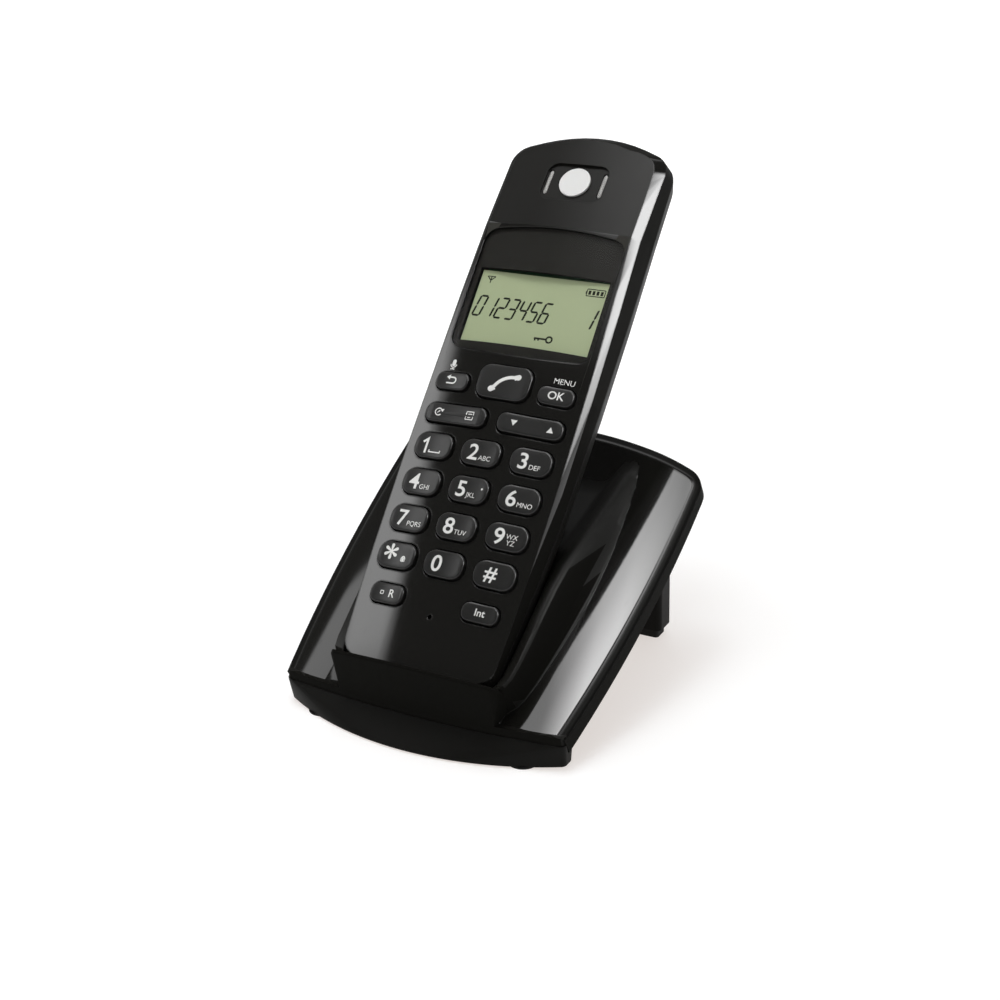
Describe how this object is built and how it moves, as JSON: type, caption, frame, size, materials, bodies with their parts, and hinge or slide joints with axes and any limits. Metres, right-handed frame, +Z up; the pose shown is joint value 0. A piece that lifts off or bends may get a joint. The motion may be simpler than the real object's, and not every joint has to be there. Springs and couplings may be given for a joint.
{
  "type": "cordless phone with charging base",
  "caption": "slim cordless telephone handset with keypad and small display, standing in a sloping desk charging base",
  "frame": {"origin": "on the desk, under the middle of the bounding box", "axes": "X across to the phone's right as seen from the front, Y from front to back, Z up; the handset's face looks to -Y and up"},
  "size_m": [0.0928, 0.1204, 0.1321],
  "materials": {
    "gloss_shell": "high gloss",
    "satin_shell": "satin",
    "foot_rubber": "matte",
    "circuit_board": "solder mask",
    "socket_plastic": "matte",
    "metal": "nickel plated",
    "window": "smoked, polished",
    "lcd": "reflective screen",
    "frame_plastic": "diffuse",
    "key_mat": "matte",
    "disc": "satin",
    "cell": "wrapped",
    "key_plastic": "semi gloss"
  },
  "bodies": {
    "base": {"base_top_cover": "gloss_shell", "base_bottom_cover": "satin_shell", "base_feet": "foot_rubber", "base_circuit_board": "circuit_board", "line_socket": "socket_plastic", "power_socket": "socket_plastic", "page_switch": "socket_plastic", "base_screws": "metal"},
    "handset": {"handset_front_cover": "gloss_shell", "handset_rear_cover": "satin_shell", "display_window": "window", "lcd_panel": "lcd", "lcd_frame": "frame_plastic", "keypad_mat": "key_mat", "handset_circuit_board": "circuit_board", "earpiece_speaker": "socket_plastic", "earpiece_badge": "disc", "microphone": "metal", "ringer_speaker": "socket_plastic", "battery_cells": "cell", "battery_contacts": "metal", "handset_charge_pads": "metal", "handset_screws": "metal"},
    "door": {"battery_door": "satin_shell"},
    "page": {"page_button": "key_plastic"},
    "contact_left": {"charge_contact_left": "metal"},
    "contact_right": {"charge_contact_right": "metal"},
    "key_1_body": {"key_1": "key_plastic"},
    "key_2_body": {"key_2": "key_plastic"},
    "key_3_body": {"key_3": "key_plastic"},
    "key_4_body": {"key_4": "key_plastic"},
    "key_5_body": {"key_5": "key_plastic"},
    "key_6_body": {"key_6": "key_plastic"},
    "key_7_body": {"key_7": "key_plastic"},
    "key_8_body": {"key_8": "key_plastic"},
    "key_9_body": {"key_9": "key_plastic"},
    "key_star_body": {"key_star": "key_plastic"},
    "key_0_body": {"key_0": "key_plastic"},
    "key_hash_body": {"key_hash": "key_plastic"},
    "key_talk_body": {"key_talk": "key_plastic"},
    "key_back_body": {"key_back": "key_plastic"},
    "key_ok_body": {"key_ok": "key_plastic"},
    "key_recall_body": {"key_recall": "key_plastic"},
    "key_intercom_body": {"key_intercom": "key_plastic"},
    "key_list_rocker_body": {"key_list_rocker": "key_plastic"},
    "key_scroll_rocker_body": {"key_scroll_rocker": "key_plastic"}
  },
  "joints": [
    {"name": "handset_lift", "type": "slide", "parent": "base", "child": "handset", "axis": [0, 0.6691, 0.7431], "range_m": [0, 0.1]},
    {"name": "battery_door_slide", "type": "slide", "parent": "handset", "child": "door", "axis": [0, -0.6691, -0.7431], "range_m": [0, 0.004]},
    {"name": "page_press", "type": "slide", "parent": "base", "child": "page", "axis": [0, 1, 0], "range_m": [-0.0008, 0], "stiffness_N_per_m": 400},
    {"name": "contact_left_press", "type": "slide", "parent": "base", "child": "contact_left", "axis": [0, 0.6691, 0.7431], "range_m": [-0.0008, 0], "stiffness_N_per_m": 300},
    {"name": "contact_right_press", "type": "slide", "parent": "base", "child": "contact_right", "axis": [0, 0.6691, 0.7431], "range_m": [-0.0008, 0], "stiffness_N_per_m": 300},
    {"name": "key_1_press", "type": "slide", "parent": "handset", "child": "key_1_body", "axis": [0, -0.7431, 0.6691], "range_m": [-0.0005, 0], "stiffness_N_per_m": 400},
    {"name": "key_2_press", "type": "slide", "parent": "handset", "child": "key_2_body", "axis": [0, -0.7431, 0.6691], "range_m": [-0.0005, 0], "stiffness_N_per_m": 400},
    {"name": "key_3_press", "type": "slide", "parent": "handset", "child": "key_3_body", "axis": [0, -0.7431, 0.6691], "range_m": [-0.0005, 0], "stiffness_N_per_m": 400},
    {"name": "key_4_press", "type": "slide", "parent": "handset", "child": "key_4_body", "axis": [0, -0.7431, 0.6691], "range_m": [-0.0005, 0], "stiffness_N_per_m": 400},
    {"name": "key_5_press", "type": "slide", "parent": "handset", "child": "key_5_body", "axis": [0, -0.7431, 0.6691], "range_m": [-0.0005, 0], "stiffness_N_per_m": 400},
    {"name": "key_6_press", "type": "slide", "parent": "handset", "child": "key_6_body", "axis": [0, -0.7431, 0.6691], "range_m": [-0.0005, 0], "stiffness_N_per_m": 400},
    {"name": "key_7_press", "type": "slide", "parent": "handset", "child": "key_7_body", "axis": [0, -0.7431, 0.6691], "range_m": [-0.0005, 0], "stiffness_N_per_m": 400},
    {"name": "key_8_press", "type": "slide", "parent": "handset", "child": "key_8_body", "axis": [0, -0.7431, 0.6691], "range_m": [-0.0005, 0], "stiffness_N_per_m": 400},
    {"name": "key_9_press", "type": "slide", "parent": "handset", "child": "key_9_body", "axis": [0, -0.7431, 0.6691], "range_m": [-0.0005, 0], "stiffness_N_per_m": 400},
    {"name": "key_star_press", "type": "slide", "parent": "handset", "child": "key_star_body", "axis": [0, -0.7431, 0.6691], "range_m": [-0.0005, 0], "stiffness_N_per_m": 400},
    {"name": "key_0_press", "type": "slide", "parent": "handset", "child": "key_0_body", "axis": [0, -0.7431, 0.6691], "range_m": [-0.0005, 0], "stiffness_N_per_m": 400},
    {"name": "key_hash_press", "type": "slide", "parent": "handset", "child": "key_hash_body", "axis": [0, -0.7431, 0.6691], "range_m": [-0.0005, 0], "stiffness_N_per_m": 400},
    {"name": "key_talk_press", "type": "slide", "parent": "handset", "child": "key_talk_body", "axis": [0, -0.7431, 0.6691], "range_m": [-0.0005, 0], "stiffness_N_per_m": 400},
    {"name": "key_back_press", "type": "slide", "parent": "handset", "child": "key_back_body", "axis": [0, -0.7431, 0.6691], "range_m": [-0.0005, 0], "stiffness_N_per_m": 400},
    {"name": "key_ok_press", "type": "slide", "parent": "handset", "child": "key_ok_body", "axis": [0, -0.7431, 0.6691], "range_m": [-0.0005, 0], "stiffness_N_per_m": 400},
    {"name": "key_recall_press", "type": "slide", "parent": "handset", "child": "key_recall_body", "axis": [0, -0.7431, 0.6691], "range_m": [-0.0005, 0], "stiffness_N_per_m": 400},
    {"name": "key_intercom_press", "type": "slide", "parent": "handset", "child": "key_intercom_body", "axis": [0, -0.7431, 0.6691], "range_m": [-0.0005, 0], "stiffness_N_per_m": 400},
    {"name": "key_list_rocker_rock", "type": "hinge", "parent": "handset", "child": "key_list_rocker_body", "pos_m": [-0.0111, -0.00493, 0.06927], "axis": [0, 0.6691, 0.7431], "range_deg": [-2.5, 2.5], "stiffness_Nm_per_rad": 0.2},
    {"name": "key_scroll_rocker_rock", "type": "hinge", "parent": "handset", "child": "key_scroll_rocker_body", "pos_m": [0.0111, -0.00493, 0.06927], "axis": [0, 0.6691, 0.7431], "range_deg": [-2.5, 2.5], "stiffness_Nm_per_rad": 0.2}
  ]
}
